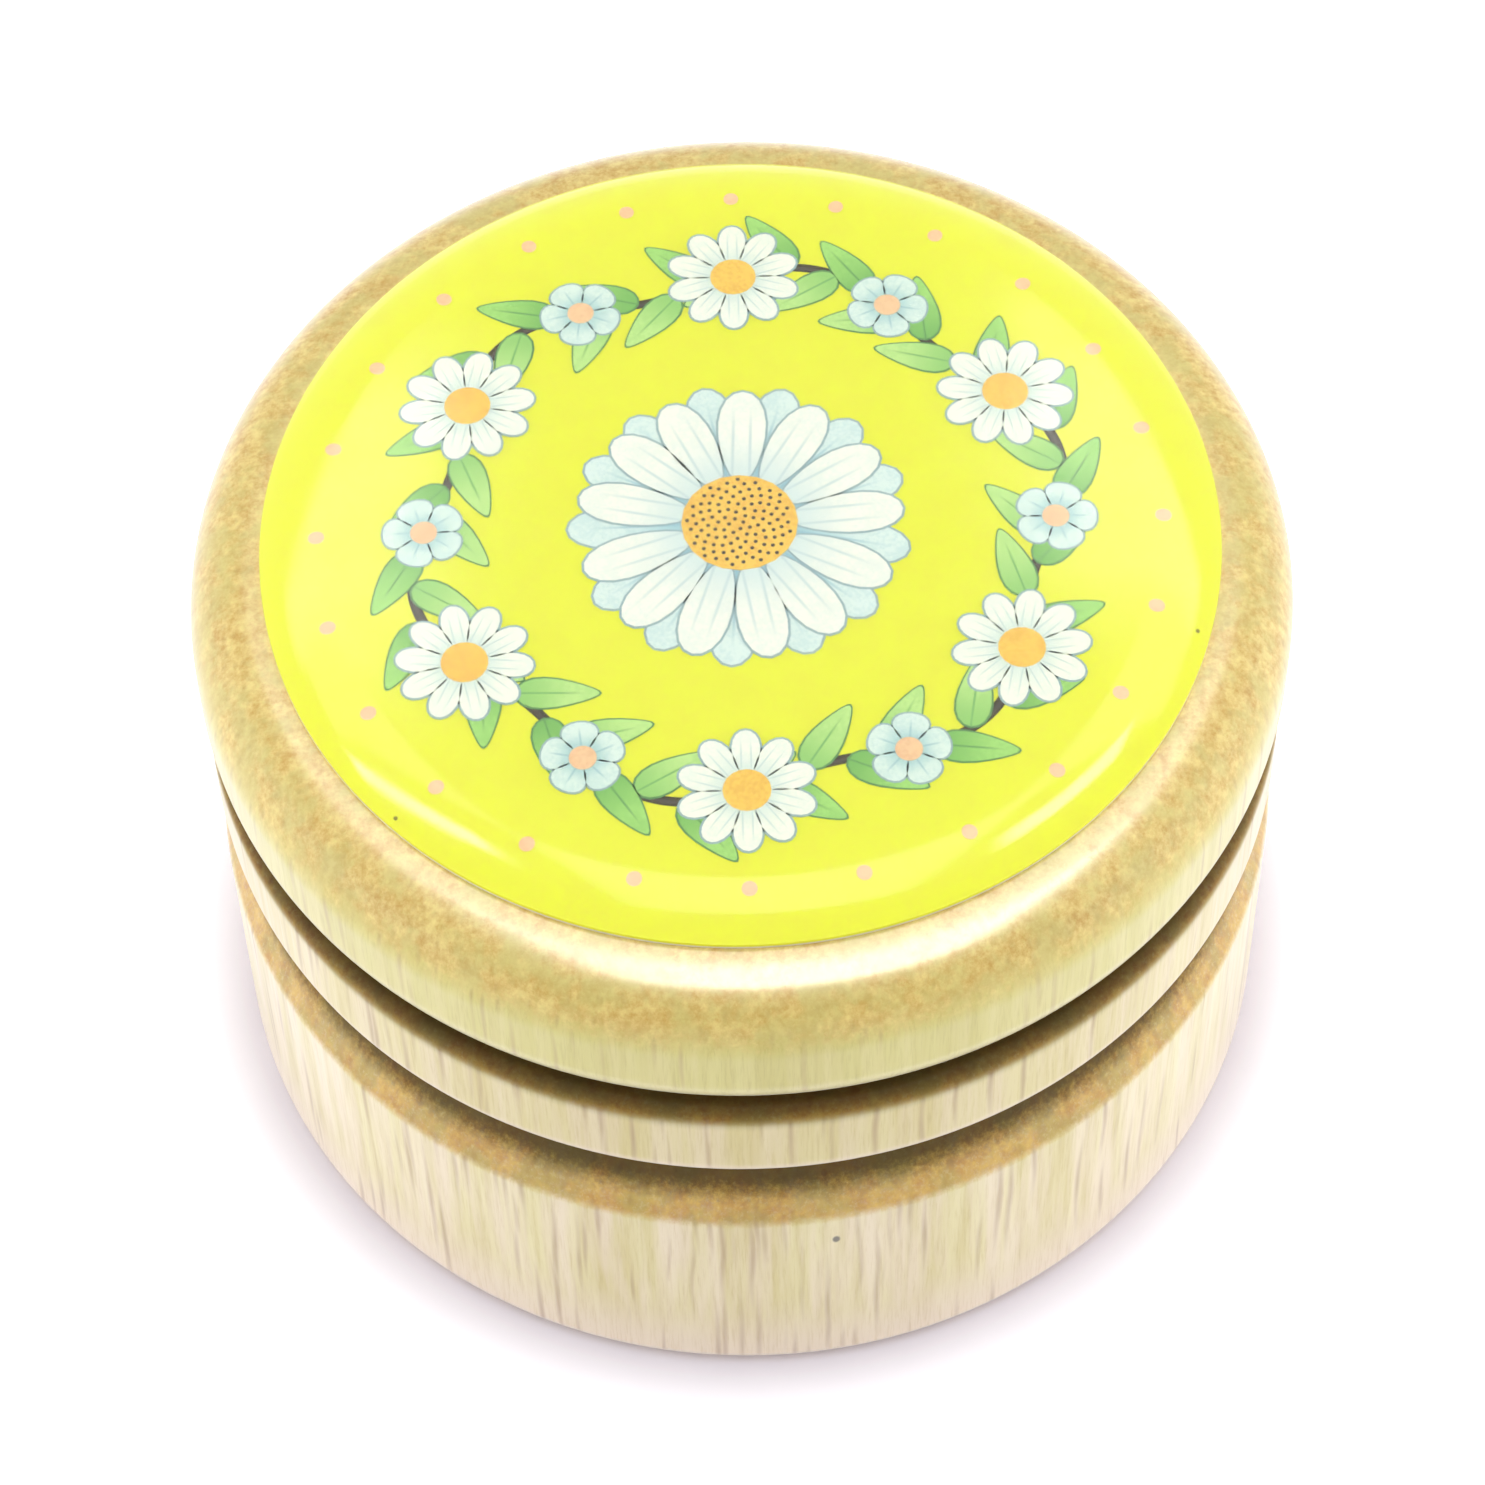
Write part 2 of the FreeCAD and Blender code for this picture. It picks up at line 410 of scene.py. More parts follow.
def makeLathe():
    tree, start, end = newTree("turnOnLathe", "GeometryNodeTree", [
        ("Geometry", "NodeSocketGeometry", None),
        ("Segments", "NodeSocketInt", 256),
        ("Thread Radius", "NodeSocketFloat", 0.0),
        ("Thread Height", "NodeSocketFloat", 0.0),
        ("Outside", "NodeSocketBool", True),
        ("Lead", "NodeSocketFloat", 0.0025),
        ("Thread From", "NodeSocketFloat", 0.0),
        ("Thread To", "NodeSocketFloat", 0.0),
        ("Run Out", "NodeSocketFloat", 0.0005),
        ("Material", "NodeSocketMaterial", None),
    ], [("Geometry", "NodeSocketGeometry", None)])
    ring = addNode(tree, "GeometryNodeCurvePrimitiveCircle", {
        "Resolution": start["Segments"], "Radius": latheRing})
    upright = addNode(tree, "GeometryNodeSetCurveNormal", {"Curve": ring.outputs[0]}, mode="Z_UP")
    swept = addNode(tree, "GeometryNodeCurveToMesh", {
        "Curve": upright.outputs[0], "Profile Curve": start["Geometry"]})
    outward = addNode(tree, "GeometryNodeFlipFaces", {"Mesh": swept.outputs[0]})
    closed = addNode(tree, "GeometryNodeMergeByDistance", {
        "Geometry": outward.outputs[0], "Distance": latheFinish["weld"]})
    threaded = addNode(tree, "GeometryNodeSetPosition", {
        "Geometry": closed.outputs[0], "Offset": threadPush(tree, start)})
    smooth = addNode(tree, "GeometryNodeSetShadeSmooth", {
        "Geometry": threaded.outputs[0], "Shade Smooth": True}, domain="FACE")
    bend = addNode(tree, "GeometryNodeInputMeshEdgeAngle").outputs[0]
    soft = calc(tree, "LESS_THAN", bend, math.radians(latheFinish["crease"]))
    creased = addNode(tree, "GeometryNodeSetShadeSmooth", {
        "Geometry": smooth.outputs[0], "Shade Smooth": soft}, domain="EDGE")
    finishTree(tree, creased.outputs[0], start, end)
    return tree


def unit(a, b):
    far = math.dist(a, b)
    return (b[0] - a[0]) / far, (b[1] - a[1]) / far


def roundedCorner(before, corner, after, steps):
    # corner is (radius, height) in mm, then a rounding radius or an oval's two reaches
    here = corner[:2]
    back, onward = unit(here, before), unit(here, after)
    if len(corner) == 3:
        half = math.acos(back[0] * onward[0] + back[1] * onward[1]) / 2
        reach = (corner[2] / math.tan(half),) * 2
        opening = math.pi - 2 * half
    else:
        reach, opening = corner[2:], math.pi / 2
    start = [here[k] + back[k] * reach[0] for k in (0, 1)]
    end = [here[k] + onward[k] * reach[1] for k in (0, 1)]
    weight = math.cos(opening / 2)
    curve = []
    for step in range(steps + 1):
        t = step / steps
        a, b, c = (1 - t) ** 2, 2 * weight * t * (1 - t), t * t
        curve.append(tuple((a * start[k] + b * here[k] + c * end[k]) / (a + b + c) for k in (0, 1)))
    return curve


def halfSection(corners, steps=14, keep=0.12, threadWall=None):
    # keep is the narrow strip beside an edge, and the threaded wall is cut into many rows
    points = []
    for index, corner in enumerate(corners):
        curve = [corner[:2]]
        if len(corner) > 2:
            curve = roundedCorner(corners[index - 1][:2], corner, corners[index + 1][:2], steps)
        if points:
            first, last = points[-1], curve[0]
            run = math.dist(first, last)
            along = unit(first, last)
            cuts = [keep, run - keep] if run > 3 * keep else []
            if threadWall and all(math.isclose(spot[0], threadWall, abs_tol=1e-6) for spot in (first, last)):
                cuts = [run * row / screw["rows"] for row in range(1, screw["rows"])]
            points += [(first[0] + along[0] * cut, first[1] + along[1] * cut) for cut in cuts]
        points += curve
    return points


lathe = makeLathe()


def plainMesh(source, name):
    # evaluated result as a plain mesh object, the source thrown away
    graph = bpy.context.evaluated_depsgraph_get()
    mesh = bpy.data.meshes.new_from_object(source.evaluated_get(graph))
    mesh.name = name
    data, kind = source.data, source.type
    bpy.data.objects.remove(source)
    (bpy.data.curves if kind == "CURVE" else bpy.data.meshes).remove(data)
    piece = bpy.data.objects.new(name, mesh)
    scene.collection.objects.link(piece)
    return piece


def runTree(source, tree, values, name):
    scene.collection.objects.link(source)
    modifier = source.modifiers.new(tree.name, "NODES")
    modifier.node_group = tree
    ids = {item.name: item.identifier for item in tree.interface.items_tree if item.in_out == "INPUT"}
    for title, value in values.items():
        modifier[ids[title]] = value
    return plainMesh(source, name)


def turnPiece(name, points, material, thread=None):
    # a section is drawn from the ring that it is swept round, and its y runs down
    curve = bpy.data.curves.new(name + "Section", "CURVE")
    curve.dimensions = "3D"
    spline = curve.splines.new("POLY")
    spline.points.add(len(points) - 1)
    for point, (radius, height) in zip(spline.points, points):
        point.co = (radius * mm - latheRing, -height * mm, 0.0, 1.0)
    section = bpy.data.objects.new(name + "Section", curve)
    return runTree(section, lathe, dict(thread or {}, Material=material), name)


# sizes from here on are in mm, and these are shared by pieces that fit each other
blank = dict(radius=22.5, seat=21.9, lidTop=29.0)


def screwThread(radius, lowEnd, highEnd, outside):
    return {"Thread Radius": radius * mm, "Thread Height": screw["depth"] * mm, "Outside": outside,
            "Lead": screw["lead"] * mm, "Run Out": screw["runOut"] * mm,
            "Thread From": lowEnd * mm, "Thread To": highEnd * mm}


baseWood = dict(
    footRound=1.0, flankStart=12.4, flankRound=1.2,
    grooveRadius=20.5, groove=16.2, grooveRound=0.3,
    beadRadius=22.4, beadTop=21.2, beadLowerRound=1.1, beadUpperRound=0.8,
    seatRadius=20.0, neckRoot=17.45, neckTop=25.7, mouthRound=0.5, threadEnds=(22.3, 25.3),
    hollowRadius=15.2, hollowFloor=4.0, hollowRound=2.5,
)
baseLook = {
    "Place": (31.0, 12.0, 7.0), "Pale": linear(231, 221, 156), "Deep": linear(207, 190, 110),
    # Foot is how high up the wall the painted floor bounce light reaches
    # the edge height is where the painted highlight runs along the bead's lower edge
    "Blush": linear(246, 228, 206), "Foot": 7.0, "Lit Edge Height": 16.7,
    "End Grain": linear(188, 126, 24), "End Pale": linear(222, 184, 78), "End Moss": linear(168, 150, 66),
    "Pore": linear(138, 86, 12), "Pore Amount": 0.5, "Knot": (3.15, -22.28, 10.65),
    # on this line, the dark tone is the knot's colour and the painted shade in the groove and the gap under
    # the lid
    "Groove Low": 13.0, "Groove High": 18.0, "Seam": 21.6, "Knot And Shade Tone": linear(90, 83, 54), "Lacquer": 0.9,
}


def baseCorners(wood):
    return [
        (0, 0),
        (blank["radius"], 0, wood["footRound"]),
        (blank["radius"], wood["flankStart"], wood["flankRound"]),
        (wood["grooveRadius"], wood["groove"], wood["grooveRound"]),
        (wood["beadRadius"], wood["groove"], wood["beadLowerRound"]),
        (wood["beadRadius"], wood["beadTop"], wood["beadUpperRound"]),
        (wood["seatRadius"], wood["beadTop"]),
        (wood["seatRadius"], blank["seat"]),
        (wood["neckRoot"], blank["seat"]),
        (wood["neckRoot"], wood["neckTop"], wood["mouthRound"]),
        (wood["hollowRadius"], wood["neckTop"], wood["mouthRound"]),
        (wood["hollowRadius"], wood["hollowFloor"], wood["hollowRound"]),
        (0, wood["hollowFloor"]),
    ]


baseSection = halfSection(baseCorners(baseWood), threadWall=baseWood["neckRoot"])
boxBase = turnPiece("boxBase", baseSection, woodMaterial("baseWood", baseLook),
                    screwThread(baseWood["neckRoot"], *baseWood["threadEnds"], True))
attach(boxBase, "base")
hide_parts("base")
print("base turned:", len(boxBase.data.polygons), "faces")


lidWood = dict(roof=25.9, socketRoot=18.55, socketRound=0.3, threadEnds=(22.2, 25.6),
               lowerReach=(1.3, 1.9), crownReach=(3.2, 2.9), roundSteps=20)
lidLook = {
    "Place": (-14.0, 55.0, 90.0), "Pale": linear(222, 216, 118), "Deep": linear(203, 193, 92),
    # the edge height is where the painted highlight runs along the lid's lower edge
    "Blush": linear(234, 222, 150), "Foot": 0.0, "Lit Edge Height": 22.45,
    "End Grain": linear(196, 146, 46), "End Pale": linear(236, 214, 126), "End Moss": linear(198, 186, 100),
    "Pore": linear(156, 112, 42), "Pore Amount": 0.42, "Knot": (-21.9, 3.1, 26.6),
    # on this line, the dark tone is the knot's colour and the painted shade at the seam under the lid
    "Groove Low": 0.0, "Groove High": 0.0, "Seam": 21.6, "Knot And Shade Tone": linear(90, 83, 54), "Lacquer": 1.0,
}


def lidCorners(wood):
    return [
        (0, wood["roof"]),
        (wood["socketRoot"], wood["roof"]),
        (wood["socketRoot"], blank["seat"], wood["socketRound"]),
        (blank["radius"], blank["seat"], *wood["lowerReach"]),
        (blank["radius"], blank["lidTop"], *wood["crownReach"]),
        (0, blank["lidTop"]),
    ]


lidSection = halfSection(lidCorners(lidWood), lidWood["roundSteps"], threadWall=lidWood["socketRoot"])
boxLid = turnPiece("boxLid", lidSection, woodMaterial("lidWood", lidLook),
                   screwThread(lidWood["socketRoot"], *lidWood["threadEnds"], False))
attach(boxLid, "lid")
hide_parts("lid")
print("lid turned:", len(boxLid.data.polygons), "faces")


label = dict(radius=19.4, filmBottom=29.1, filmTop=29.25, edgeRound=0.02, roundSteps=3)
glue = dict(pale=linear(238, 236, 214), deep=linear(206, 198, 160), streaks=700.0,
            roughness=(0.3, 0.7, 0.4, 0.6))


def discSection(bottom, top):
    radius, edge = label["radius"], label["edgeRound"]
    corners = [(0, bottom), (radius, bottom, edge), (radius, top, edge), (0, top)]
    return halfSection(corners, label["roundSteps"])


def glueMaterial():
    material, tree, shader, _ = newMaterial("labelGlue")
    coords = addNode(tree, "ShaderNodeTexCoord").outputs["Object"]
    streak = noise(tree, coords, glue["streaks"], 3.0)[0]
    tree.links.new(mixColour(tree, streak, glue["pale"], glue["deep"]), shader.inputs["Base Color"])
    tree.links.new(spread(tree, streak, *glue["roughness"]), shader.inputs["Roughness"])
    return material


labelGlue = turnPiece("labelGlue", discSection(blank["lidTop"], label["filmBottom"]), glueMaterial())
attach(labelGlue, "lid_carrier")
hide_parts("label_adhesive")

labelFilm = turnPiece("labelFilm", discSection(label["filmBottom"], label["filmTop"]),
                      inkMaterial("lemonInk", (226, 231, 35), (224, 221, 49), 0.6))
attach(labelFilm, "lid")
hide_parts("label_film")


# the print under the dome is thin inks, each layer a hair above the last
inkLayer = dict(below=0.01, step=0.012)
petalBlank = {"Vertices": 20, "Radius": 1.0, "Depth": 1.0}
seedSides = 8
vineSteps = 288
goldenAngle = math.pi * (3 - math.sqrt(5))


def polar(tree, far, angle, height=0.0):
    x = times(tree, far, calc(tree, "COSINE", angle))
    y = times(tree, far, calc(tree, "SINE", angle))
    return joined(tree, x, y, height)


def wavyRadius(tree, start, angle):
    wave = calc(tree, "SINE", times(tree, angle, start["Waves"]))
    return calc(tree, "MULTIPLY_ADD", wave, start["Wave"], start["Ring Radius"])


def turnedBy(tree, angle):
    return addNode(tree, "FunctionNodeEulerToRotation", {0: joined(tree, z=angle)}).outputs[0]


def midLevel(tree, start):
    return times(tree, plus(tree, start["Bottom"], start["Top"]), 0.5)


def inkDepth(tree, start):
    return minus(tree, start["Top"], start["Bottom"])


def makePetal(tree, start):
    # a disc drawn out to a petal, which keeps how far along and across it each point lies
    petal = addNode(tree, "GeometryNodeMeshCylinder", petalBlank, fill_type="NGON").outputs["Mesh"]
    x, y, z = split(tree, addNode(tree, "GeometryNodeInputPosition").outputs[0])
    along = calc(tree, "MULTIPLY_ADD", x, 0.5, 0.5)
    across = times(tree, y, spread(tree, along, 0.0, 1.0, start["Foot Share"], start["Tip Share"], False))
    for name, value in (("along", along), ("across", across)):
        petal = addNode(tree, "GeometryNodeStoreNamedAttribute", {
            "Geometry": petal, "Name": name, "Value": value}, data_type="FLOAT", domain="POINT").outputs[0]
    shape = joined(tree, calc(tree, "MULTIPLY_ADD", along, start["Petal Length"], start["Petal Foot"]),
                   times(tree, across, times(tree, start["Petal Width"], 0.5)),
                   spread(tree, z, -0.5, 0.5, start["Bottom"], start["Top"], False))
    return addNode(tree, "GeometryNodeSetPosition", {"Geometry": petal, "Position": shape}).outputs[0]


def makeFlowerRing():
    # one petal, set round a flower, set round a wavy ring
    tree, start, end = newTree("ringOfFlowers", "GeometryNodeTree", [
        ("Geometry", "NodeSocketGeometry", None),
        ("Flowers", "NodeSocketInt", 6),
        ("Ring Radius", "NodeSocketFloat", 0.012),
        ("Wave", "NodeSocketFloat", 0.0),
        ("Waves", "NodeSocketInt", 6),
        ("Start", "NodeSocketFloat", 0.0),
        ("Turn", "NodeSocketFloat", 0.0),
        ("Petals", "NodeSocketInt", 5),
        ("Petal Length", "NodeSocketFloat", 0.002),
        ("Petal Width", "NodeSocketFloat", 0.001),
        ("Petal Foot", "NodeSocketFloat", 0.0005),
        ("Foot Share", "NodeSocketFloat", 1.0),
        ("Tip Share", "NodeSocketFloat", 1.0),
        ("Sway", "NodeSocketFloat", 0.0),
        ("Seed", "NodeSocketInt", 3),
        ("Bottom", "NodeSocketFloat", 0.0),
        ("Top", "NodeSocketFloat", 0.0001),
        ("Material", "NodeSocketMaterial", None),
    ], [("Geometry", "NodeSocketGeometry", None)])
    index = addNode(tree, "GeometryNodeInputIndex").outputs[0]
    wobble = addNode(tree, "FunctionNodeRandomValue", {
        "Min": times(tree, start["Sway"], -1.0), "Max": start["Sway"], "Seed": start["Seed"]},
        data_type="FLOAT").outputs["Value"]
    wholeTurns = times(tree, index, 2 * math.pi)
    spin = plus(tree, calc(tree, "DIVIDE", wholeTurns, start["Petals"]), wobble)
    spokes = addNode(tree, "GeometryNodePoints", {"Count": start["Petals"]}).outputs[0]
    flower = addNode(tree, "GeometryNodeInstanceOnPoints", {
        "Points": spokes, "Instance": makePetal(tree, start), "Rotation": turnedBy(tree, spin)}).outputs[0]

    angle = plus(tree, calc(tree, "DIVIDE", wholeTurns, start["Flowers"]), start["Start"])
    spots = addNode(tree, "GeometryNodePoints", {
        "Count": start["Flowers"], "Position": polar(tree, wavyRadius(tree, start, angle), angle)}).outputs[0]
    facing = plus(tree, plus(tree, angle, start["Turn"]), wobble)
    ring = addNode(tree, "GeometryNodeInstanceOnPoints", {
        "Points": spots, "Instance": flower, "Rotation": turnedBy(tree, facing)}).outputs[0]
    finishTree(tree, ring, start, end)
    return tree


def makeVine():
    # a flat ribbon of ink along a wavy ring
    tree, start, end = newTree("wavyVine", "GeometryNodeTree", [
        ("Geometry", "NodeSocketGeometry", None),
        ("Ring Radius", "NodeSocketFloat", 0.012),
        ("Wave", "NodeSocketFloat", 0.0),
        ("Waves", "NodeSocketInt", 6),
        ("Ribbon", "NodeSocketFloat", 0.0004),
        ("Bottom", "NodeSocketFloat", 0.0),
        ("Top", "NodeSocketFloat", 0.0001),
        ("Material", "NodeSocketMaterial", None),
    ], [("Geometry", "NodeSocketGeometry", None)])
    circle = addNode(tree, "GeometryNodeCurvePrimitiveCircle", {
        "Resolution": vineSteps, "Radius": start["Ring Radius"]}).outputs[0]
    x, y, _ = split(tree, addNode(tree, "GeometryNodeInputPosition").outputs[0])
    angle = calc(tree, "ARCTAN2", y, x)
    route = polar(tree, wavyRadius(tree, start, angle), angle, midLevel(tree, start))
    wavy = addNode(tree, "GeometryNodeSetPosition", {"Geometry": circle, "Position": route}).outputs[0]
    level = addNode(tree, "GeometryNodeSetCurveNormal", {"Curve": wavy}, mode="Z_UP").outputs[0]
    ribbon = addNode(tree, "GeometryNodeCurvePrimitiveQuadrilateral", {
        "Width": start["Ribbon"], "Height": inkDepth(tree, start)}).outputs[0]
    band = addNode(tree, "GeometryNodeCurveToMesh", {"Curve": level, "Profile Curve": ribbon}).outputs[0]
    finishTree(tree, band, start, end)
    return tree


def makeSeedHead():
    # seeds set out by the golden angle, as in a sunflower
    tree, start, end = newTree("seedHead", "GeometryNodeTree", [
        ("Geometry", "NodeSocketGeometry", None),
        ("Seeds", "NodeSocketInt", 60),
        ("Head Radius", "NodeSocketFloat", 0.002),
        ("Seed Radius", "NodeSocketFloat", 0.0001),
        ("Bottom", "NodeSocketFloat", 0.0),
        ("Top", "NodeSocketFloat", 0.0001),
        ("Material", "NodeSocketMaterial", None),
    ], [("Geometry", "NodeSocketGeometry", None)])
    index = addNode(tree, "GeometryNodeInputIndex").outputs[0]
    share = calc(tree, "DIVIDE", plus(tree, index, 0.5), start["Seeds"])
    far = times(tree, calc(tree, "SQRT", share), start["Head Radius"])
    place = polar(tree, far, times(tree, index, goldenAngle), midLevel(tree, start))
    spots = addNode(tree, "GeometryNodePoints", {"Count": start["Seeds"], "Position": place}).outputs[0]
    seed = addNode(tree, "GeometryNodeMeshCylinder", {
        "Vertices": seedSides, "Radius": start["Seed Radius"], "Depth": inkDepth(tree, start)},
        fill_type="NGON").outputs["Mesh"]
    head = addNode(tree, "GeometryNodeInstanceOnPoints", {"Points": spots, "Instance": seed}).outputs[0]
    finishTree(tree, head, start, end)
    return tree


flowerTree, vineTree, seedTree = makeFlowerRing(), makeVine(), makeSeedHead()


def printPiece(name, tree, layer, material, sizes):
    paper = bpy.data.objects.new(name + "Blank", bpy.data.meshes.new(name + "Blank"))
    bottom = (label["filmTop"] - inkLayer["below"]) * mm
    top = (label["filmTop"] + inkLayer["step"] * layer) * mm
    piece = runTree(paper, tree, dict(sizes, Bottom=bottom, Top=top, Material=material), name)
    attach(piece, "lid")


def flowers(name, layer, material, sizes, edge=0.0):
    # sizes in mm and degrees; an edge makes every petal that much larger all round
    printPiece(name, flowerTree, layer, material, {
        "Flowers": sizes["count"],
        "Ring Radius": sizes["ring"] * mm,
        "Wave": sizes.get("wave", 0.0) * mm,
        "Start": math.radians(sizes.get("start", 0.0)),
        "Turn": math.radians(sizes.get("turn", 0.0)),
        "Petals": sizes["petals"],
        "Petal Length": (sizes["long"] + 2 * edge) * mm,
        "Petal Width": (sizes["wide"] + 2 * edge) * mm,
        "Petal Foot": (sizes["foot"] - edge) * mm,
        "Foot Share": sizes.get("footShare", 1.0),
        "Tip Share": sizes.get("tipShare", 1.0),
        "Sway": sizes.get("sway", 0.0),
        "Seed": sizes.get("seed", 3),
    })


def roundSpot(radius):
    return dict(petals=1, long=2 * radius, wide=2 * radius, foot=-radius,
                footShare=1.0, tipShare=1.0, sway=0.0)


inks = dict(
    white=petalMaterial("whiteInk", dict(
        tip=(238, 240, 238), foot=(206, 224, 228), footEnd=0.6,
        rib=(190, 210, 218), ribAt=0.34, ribStrength=0.8)),
    blue=petalMaterial("paleBlueInk", dict(
        tip=(214, 232, 236), foot=(160, 200, 214), footEnd=0.7,
        rib=(140, 184, 204), ribAt=0.0, ribStrength=0.7)),
    green=petalMaterial("leafGreenInk", dict(
        tip=(158, 212, 116), foot=(112, 176, 88), footEnd=0.8,
        rib=(92, 150, 84), ribAt=0.0, ribStrength=1.0)),
    mint=petalMaterial("mintInk", dict(
        tip=(186, 224, 140), foot=(140, 196, 110), footEnd=0.8,
        rib=(112, 172, 100), ribAt=0.0, ribStrength=1.0)),
    edge=inkMaterial("greyBlueEdge", (150, 178, 190), (136, 160, 176), 0.4),
    leafEdge=inkMaterial("darkLeafEdge", (88, 142, 82), (76, 126, 76), 0.4),
    honey=inkMaterial("honeyInk", (240, 196, 84), (228, 170, 70), 0.7),
    peach=inkMaterial("peachInk", (238, 196, 160), (226, 172, 138), 0.5),
    brown=inkMaterial("barkInk", (58, 52, 46), (74, 62, 50), 0.6),
    flaw=inkMaterial("oliveFlaw", (126, 122, 30), (152, 146, 40), 0.6),
)

wreath = dict(ring=12.7, wave=0.75, ribbon=0.42)
printPiece("printVine", vineTree, 1, inks["brown"], {
    "Ring Radius": wreath["ring"] * mm, "Wave": wreath["wave"] * mm, "Ribbon": wreath["ribbon"] * mm})

leaf = dict(count=24, ring=wreath["ring"], wave=wreath["wave"], petals=1, long=3.3, wide=1.5, foot=0.1,
            footShare=1.25, tipShare=0.45, sway=0.16, seed=7, edge=0.09)
for name, ink, start, turn in (("Outer", "green", 4.0, 48.0), ("Inner", "mint", 11.0, 128.0)):
    sizes = dict(leaf, start=start, turn=turn)
    flowers("printLeafEdges" + name, 2, inks["leafEdge"], sizes, leaf["edge"])
    flowers("printLeaves" + name, 3, inks[ink], sizes)

daisy = dict(count=6, ring=wreath["ring"], start=30.0, petals=10, long=2.1, wide=1.15, foot=0.65,
             footShare=0.75, tipShare=1.15, edge=0.09, heart=0.95)
flowers("printDaisyEdges", 4, inks["edge"], daisy, daisy["edge"])
flowers("printDaisies", 5, inks["white"], daisy)
flowers("printDaisyHearts", 6, inks["honey"], dict(daisy, **roundSpot(daisy["heart"])))

blossom = dict(count=6, ring=wreath["ring"], petals=5, long=1.35, wide=1.45, foot=0.3,
               footShare=0.7, tipShare=1.2, edge=0.08, heart=0.55)
flowers("printBlossomEdges", 4, inks["edge"], blossom, blossom["edge"])
flowers("printBlossoms", 5, inks["blue"], blossom)
flowers("printBlossomHearts", 6, inks["peach"], dict(blossom, **roundSpot(blossom["heart"])))

middle = dict(count=1, ring=0.0, petals=13, long=4.6, wide=2.05, foot=2.0,
              footShare=0.7, tipShare=1.15, sway=0.05, edge=0.1, heart=2.35)
middleUnder = dict(middle, long=4.9, turn=180.0 / middle["petals"])
flowers("printMiddleUnderEdges", 1, inks["edge"], middleUnder, middle["edge"])
flowers("printMiddleUnder", 2, inks["blue"], middleUnder)
flowers("printMiddleEdges", 3, inks["edge"], middle, middle["edge"])
flowers("printMiddle", 4, inks["white"], middle)
flowers("printMiddleHeart", 5, inks["honey"], dict(middle, **roundSpot(middle["heart"])))

seeds = dict(count=110, headRadius=2.15, seedRadius=0.085)
printPiece("printSeeds", seedTree, 6, inks["brown"], {
    "Seeds": seeds["count"], "Head Radius": seeds["headRadius"] * mm,
    "Seed Radius": seeds["seedRadius"] * mm})

dots = dict(count=24, ring=17.0, radius=0.31)
flowers("printDots", 1, inks["peach"], dict(dots, **roundSpot(dots["radius"])))

# two tiny flaws caught under the edge of the dome
specks = dict(radius=0.09, places=((19.0, -135.8), (18.8, -17.0)))
for number, (ring, start) in enumerate(specks["places"]):
    sizes = dict(roundSpot(specks["radius"]), count=1, ring=ring, start=start)
    flowers(f"printSpeck{number}", 1, inks["flaw"], sizes)
print("label printed")


# bed is how deep the dome lies in the film, and lip the small bevel that leads down to it
dome = dict(edgeRadius=5.0, rimSlope=40.0, crownSlope=4.0, edgeSteps=24, crownSteps=32,
            bed=0.05, lip=((0.1, 0.05), (0.03, 0.04)))
resin = dict(colour=(1.0, 1.0, 0.985, 1), ior=1.48, haze=260.0, roughness=(0.3, 0.7, 0.11, 0.17),
             shadow=(0.98, 0.98, 0.96, 1))


def domeSection(bottom):
    rim, crown = math.radians(dome["rimSlope"]), math.radians(dome["crownSlope"])
    edge = dome["edgeRadius"]
    centre = label["radius"] - edge * math.sin(rim), bottom - edge * math.cos(rim)
    points = [(0, bottom - dome["bed"])]
    points += [(label["radius"] - inward, bottom - down) for inward, down in dome["lip"]]
    for step in range(dome["edgeSteps"] + 1):
        slope = rim + (crown - rim) * step / dome["edgeSteps"]
        points.append((centre[0] + edge * math.sin(slope), centre[1] + edge * math.cos(slope)))
    join = points[-1]
    wide = join[0] / math.sin(crown)
    for step in range(1, dome["crownSteps"] + 1):
        slope = crown * (1 - step / dome["crownSteps"])
        points.append((wide * math.sin(slope), join[1] + wide * (math.cos(slope) - math.cos(crown))))
    return points


def resinMaterial():
    # light passes straight through to the print, the eye sees it bent
    material, tree, shader, output = newMaterial("clearResin")
    shader.inputs["Base Color"].default_value = resin["colour"]
    shader.inputs["Transmission Weight"].default_value = 1.0
    shader.inputs["IOR"].default_value = resin["ior"]
    coords = addNode(tree, "ShaderNodeTexCoord").outputs["Object"]
    haze = noise(tree, coords, resin["haze"], 2.0)[0]
    tree.links.new(spread(tree, haze, *resin["roughness"]), shader.inputs["Roughness"])
    clear = addNode(tree, "ShaderNodeBsdfTransparent", {0: resin["shadow"]})
    forLamps = addNode(tree, "ShaderNodeLightPath").outputs["Is Shadow Ray"]
    both = addNode(tree, "ShaderNodeMixShader", {0: forLamps, 1: shader.outputs[0], 2: clear.outputs[0]})
    tree.links.new(both.outputs[0], output.inputs["Surface"])
    return material


labelDome = turnPiece("labelDome", domeSection(label["filmTop"]), resinMaterial())
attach(labelDome, "lid")
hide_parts("label_dome")
print("label laid:", len(labelDome.data.polygons), "faces in the dome")


def seenDirectly(tree):
    # 1 for the eye, and for what it sees in gloss or through glass
    path = addNode(tree, "ShaderNodeLightPath").outputs
    seen = larger(tree, path["Is Camera Ray"], path["Is Glossy Ray"], path["Is Transmission Ray"])
    return times(tree, seen, calc(tree, "LESS_THAN", path["Diffuse Depth"], 0.5))


# near the box the floor keeps its shadow, further off it glows up to white
floor = dict(half=0.6, colour=linear(239, 236, 247), cloud=linear(240, 237, 248), clouds=6.0, roughness=0.9,
             glow=0.6, glowEnds=(21.4, 26.8))


